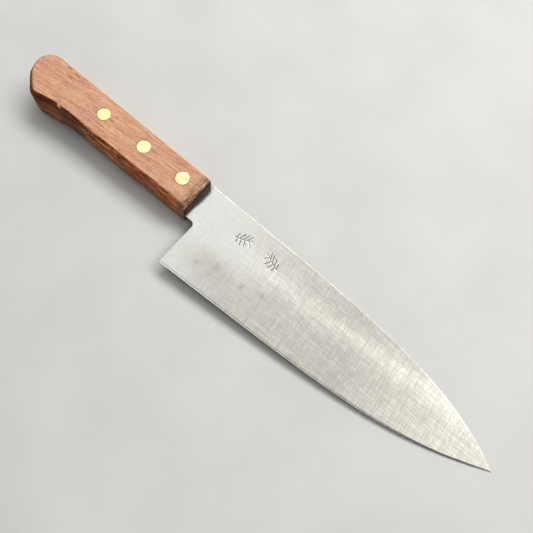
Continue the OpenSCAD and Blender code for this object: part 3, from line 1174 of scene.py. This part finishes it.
def ceiling_panel(name, x_span, y_span, radiance):
    """A panel that looks straight down, given the ground it covers and its brightness."""
    middle = ((x_span[0] + x_span[1]) / 2, (y_span[0] + y_span[1]) / 2)
    size = (x_span[1] - x_span[0], y_span[1] - y_span[0])
    power = radiance * math.pi * size[0] * size[1]
    area_light(name, (*middle, CEILING), (*middle, 0.0), size, power)


def strip_lamp(name, start, end, radiance):
    """A narrow lamp over the line from one point to another, just under the ceiling panels."""
    span = Vector(end) - Vector(start)
    middle = (Vector(start) + Vector(end)) / 2
    power = radiance * math.pi * span.length * STRIP_WIDTH
    place_at = (middle.x, middle.y, CEILING - STRIP_DROP)
    size = (span.length, STRIP_WIDTH)
    lamp = area_light(name, place_at, (middle.x, middle.y, 0.0), size, power)
    lamp.rotation_euler.z = math.atan2(span.y, span.x)


def room():
    """Dim light from all round, brighter low down so that the steel has something to mirror."""
    world = bpy.data.worlds.new("studio")
    world.use_nodes = True
    nodes, links = world.node_tree.nodes, world.node_tree.links
    background = nodes["Background"]
    background.inputs["Color"].default_value = (0.97, 0.985, 1.0, 1)
    direction = nodes.new("ShaderNodeTexCoord")
    split = nodes.new("ShaderNodeSeparateXYZ")
    strength = nodes.new("ShaderNodeMapRange")
    strength.interpolation_type = "SMOOTHSTEP"
    strength.inputs["From Min"].default_value = ROOM_HEIGHTS[0]
    strength.inputs["From Max"].default_value = ROOM_HEIGHTS[1]
    strength.inputs["To Min"].default_value = ROOM_LOW
    strength.inputs["To Max"].default_value = ROOM_HIGH
    links.new(direction.outputs["Generated"], split.inputs[0])
    links.new(split.outputs["Z"], strength.inputs["Value"])
    links.new(strength.outputs[0], background.inputs["Strength"])
    bpy.context.scene.world = world


def lights():
    """Panels and strips that the blade mirrors, and a window behind them."""
    ceiling_panel("sky_left", (-1.4, -0.38), (SKY_NEAR, SKY_FAR), 1.09)
    ceiling_panel("sky_heel_low", (-0.38, -0.08), (SKY_NEAR, SKY_SPLIT), 0.87)
    ceiling_panel("sky_heel_high", (-0.38, -0.08), (SKY_SPLIT, SKY_FAR), 1.00)
    ceiling_panel("sky_front", (-0.08, 0.15), (SKY_NEAR, SKY_FAR), 1.02)
    ceiling_panel("sky_middle", (0.19, 0.42), (SKY_NEAR, SKY_FAR), 1.11)
    ceiling_panel("sky_right", (0.42, 1.4), (SKY_NEAR, SKY_FAR), 1.40)
    ceiling_panel("edge_strip", (-1.1, 1.3), (-0.31, -0.23), 1.6)
    strip_lamp("strip_left", (-0.16, 0.281), (0.08, 0.281), 1.0)
    strip_lamp("strip_middle", (0.08, 0.282), (0.33, 0.318), 1.8)
    strip_lamp("strip_right", (0.33, 0.318), (0.80, 0.310), 1.8)
    area_light("window", (0.1, 0.80, 1.06), (0, 0, 0), (1.6, 0.52), 21, (1.0, 0.99, 0.97))
    room()


# Where the camera stands round the point that it looks at, in degrees and metres
AZIMUTH = 26.6
ELEVATION = 72.4
ROLL = 14.0
DISTANCE = 260.5 * MM
AIM = Vector((11.5, 8.6, 8.5)) * MM
# Focal length and width of the sensor, in the millimetres of a camera
LENS = 36.07
SENSOR = 36


def camera():
    a, e, r = (math.radians(v) for v in (AZIMUTH, ELEVATION, ROLL))
    back = Vector((math.sin(a) * math.cos(e), -math.cos(a) * math.cos(e), math.sin(e)))
    level_right = Vector((0, 0, 1)).cross(back).normalized()
    level_up = back.cross(level_right)
    right = math.cos(r) * level_right + math.sin(r) * level_up
    up = back.cross(right)
    data = bpy.data.cameras.new("camera")
    data.lens = LENS
    data.sensor_width = SENSOR
    data.clip_start = 0.01
    data.clip_end = 50
    obj = add("camera", data)
    turn = Matrix((right, up, back)).transposed().to_4x4()
    obj.matrix_world = Matrix.Translation(AIM + back * DISTANCE) @ turn
    bpy.context.scene.camera = obj


camera()
blade()
handle()
rivets()
floor()
lights()
bpy.context.scene.view_settings.view_transform = "Standard"
